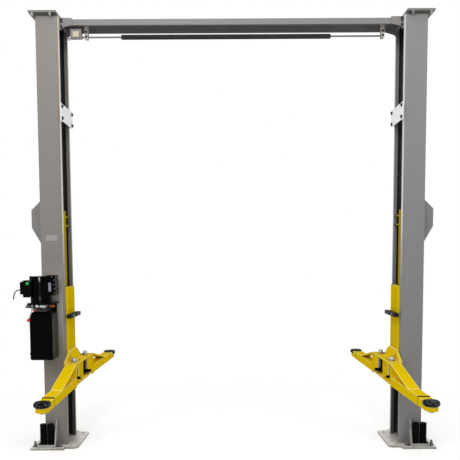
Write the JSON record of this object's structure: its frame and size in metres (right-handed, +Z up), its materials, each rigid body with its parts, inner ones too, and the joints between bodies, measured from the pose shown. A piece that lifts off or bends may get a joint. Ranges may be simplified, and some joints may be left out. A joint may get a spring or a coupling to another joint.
{
  "type": "two post car lift",
  "caption": "Clear floor vehicle lift: two posts joined by an overhead beam, sliding carriages with swinging telescopic arms and round pads, power unit on one post.",
  "frame": {"origin": "on the floor midway between the two posts, centre of the outer anchor hole pattern", "axes": "+X across the bay towards the right post, +Y away from the power unit side, +Z up"},
  "size_m": [3.5685, 2.2694, 3.683],
  "materials": {
    "bare_steel": "zinc plated",
    "black_paint": "semi gloss black paint",
    "black_rubber": "matte black rubber and foam",
    "cast_aluminium": "as cast",
    "galvanised_steel": "dull zinc coat",
    "green_plastic": "green plastic",
    "grey_paint": "satin neutral grey paint",
    "motor_grey": "grey paint",
    "red_plastic": "red plastic",
    "steel_cable": "stranded steel",
    "warm_grey_paint": "satin warm grey paint",
    "white_paint": "white paint",
    "yellow_paint": "gloss yellow paint"
  },
  "bodies": {
    "frame": {"adapter_holders": "galvanised_steel", "bar_hangers": "grey_paint", "beam_brackets": "grey_paint", "filler_cap": "red_plastic", "height_adapters": "black_paint", "left_base_plate": "galvanised_steel", "left_cable_drops": "steel_cable", "left_cylinder": "black_paint", "left_latch_cover": "grey_paint", "left_post": "warm_grey_paint", "left_top_plate": "warm_grey_paint", "limit_switch": "motor_grey", "motor_cable": "black_rubber", "oil_tank": "black_paint", "overhead_beam": "grey_paint", "overhead_cables": "steel_cable", "power_bracket": "black_paint", "pump_block": "cast_aluminium", "pump_motor": "black_paint", "right_base_plate": "galvanised_steel", "right_cable_drops": "steel_cable", "right_cylinder": "black_paint", "right_latch_cover": "grey_paint", "right_post": "grey_paint", "right_top_plate": "grey_paint", "switch_box": "black_paint", "tie_plates": "white_paint", "top_sheaves": "black_paint"},
    "left_carriage_body": {"left_carriage": "yellow_paint", "left_yoke": "yellow_paint", "left_pivot_pins": "bare_steel", "left_door_guard": "black_rubber", "left_arm_locks": "bare_steel"},
    "right_carriage_body": {"right_carriage": "yellow_paint", "right_yoke": "yellow_paint", "right_pivot_pins": "bare_steel", "right_door_guard": "black_rubber", "right_arm_locks": "bare_steel"},
    "left_front_arm_body": {"left_front_arm": "yellow_paint"},
    "left_front_extension_body": {"left_front_extension": "yellow_paint"},
    "left_front_pad_body": {"left_front_pad": "black_rubber"},
    "right_front_arm_body": {"right_front_arm": "yellow_paint"},
    "right_front_extension_body": {"right_front_extension": "yellow_paint"},
    "right_front_pad_body": {"right_front_pad": "black_rubber"},
    "left_rear_arm_body": {"left_rear_arm": "yellow_paint"},
    "left_rear_extension_body": {"left_rear_extension": "yellow_paint"},
    "left_rear_pad_body": {"left_rear_pad": "black_rubber"},
    "right_rear_arm_body": {"right_rear_arm": "yellow_paint"},
    "right_rear_extension_body": {"right_rear_extension": "yellow_paint"},
    "right_rear_pad_body": {"right_rear_pad": "black_rubber"},
    "shutoff_bar_body": {"shutoff_bar": "bare_steel", "bar_padding": "black_rubber"},
    "lever_body": {"lowering_lever": "red_plastic"},
    "button_body": {"start_button": "green_plastic"}
  },
  "joints": [
    {"name": "left_carriage_lift", "type": "slide", "parent": "frame", "child": "left_carriage_body", "axis": [0, 0, 1], "range_m": [-0.45, 1.35]},
    {"name": "right_carriage_lift", "type": "slide", "parent": "frame", "child": "right_carriage_body", "axis": [0, 0, 1], "range_m": [-0.45, 1.35]},
    {"name": "left_front_arm_swing", "type": "hinge", "parent": "left_carriage_body", "child": "left_front_arm_body", "pos_m": [-1.363, -0.183, 0.65], "axis": [0, 0, -1], "range_deg": [-94.1, 8.9]},
    {"name": "left_front_extension_slide", "type": "slide", "parent": "left_front_arm_body", "child": "left_front_extension_body", "axis": [0.0157, -0.9999, 0], "range_m": [0, 0.36]},
    {"name": "left_front_pad_screw", "type": "slide", "parent": "left_front_extension_body", "child": "left_front_pad_body", "axis": [0, 0, 1], "range_m": [0, 0.03]},
    {"name": "right_front_arm_swing", "type": "hinge", "parent": "right_carriage_body", "child": "right_front_arm_body", "pos_m": [1.363, -0.183, 0.65], "axis": [0, 0, 1], "range_deg": [-97, 6]},
    {"name": "right_front_extension_slide", "type": "slide", "parent": "right_front_arm_body", "child": "right_front_extension_body", "axis": [0.0349, -0.9994, 0], "range_m": [0, 0.36]},
    {"name": "right_front_pad_screw", "type": "slide", "parent": "right_front_extension_body", "child": "right_front_pad_body", "axis": [0, 0, 1], "range_m": [0, 0.03]},
    {"name": "left_rear_arm_swing", "type": "hinge", "parent": "left_carriage_body", "child": "left_rear_arm_body", "pos_m": [-1.363, 0.183, 0.65], "axis": [0, 0, 1], "range_deg": [-92.8, 10.2]},
    {"name": "left_rear_extension_slide", "type": "slide", "parent": "left_rear_arm_body", "child": "left_rear_extension_body", "axis": [0.0384, 0.9993, 0], "range_m": [0, 0.36]},
    {"name": "left_rear_pad_screw", "type": "slide", "parent": "left_rear_extension_body", "child": "left_rear_pad_body", "axis": [0, 0, 1], "range_m": [0, 0.03]},
    {"name": "right_rear_arm_swing", "type": "hinge", "parent": "right_carriage_body", "child": "right_rear_arm_body", "pos_m": [1.363, 0.183, 0.65], "axis": [0, 0, -1], "range_deg": [-93, 10]},
    {"name": "right_rear_extension_slide", "type": "slide", "parent": "right_rear_arm_body", "child": "right_rear_extension_body", "axis": [-0.0349, 0.9994, 0], "range_m": [0, 0.36]},
    {"name": "right_rear_pad_screw", "type": "slide", "parent": "right_rear_extension_body", "child": "right_rear_pad_body", "axis": [0, 0, 1], "range_m": [0, 0.03]},
    {"name": "shutoff_bar_pivot", "type": "hinge", "parent": "frame", "child": "shutoff_bar_body", "pos_m": [1.293, 0, 3.531], "axis": [0, 1, 0], "range_deg": [0, 0.7]},
    {"name": "lowering_lever_pivot", "type": "hinge", "parent": "frame", "child": "lever_body", "pos_m": [-1.65, -0.354, 1.228], "axis": [0, 1, 0], "range_deg": [0, 20], "stiffness_Nm_per_rad": 0.6},
    {"name": "start_button_press", "type": "slide", "parent": "frame", "child": "button_body", "axis": [0, 1, 0], "range_m": [0, 0.003], "stiffness_N_per_m": 500}
  ],
  "couplings": [
    {"joint": "right_carriage_lift", "follows": "left_carriage_lift", "ratio": 1}
  ]
}
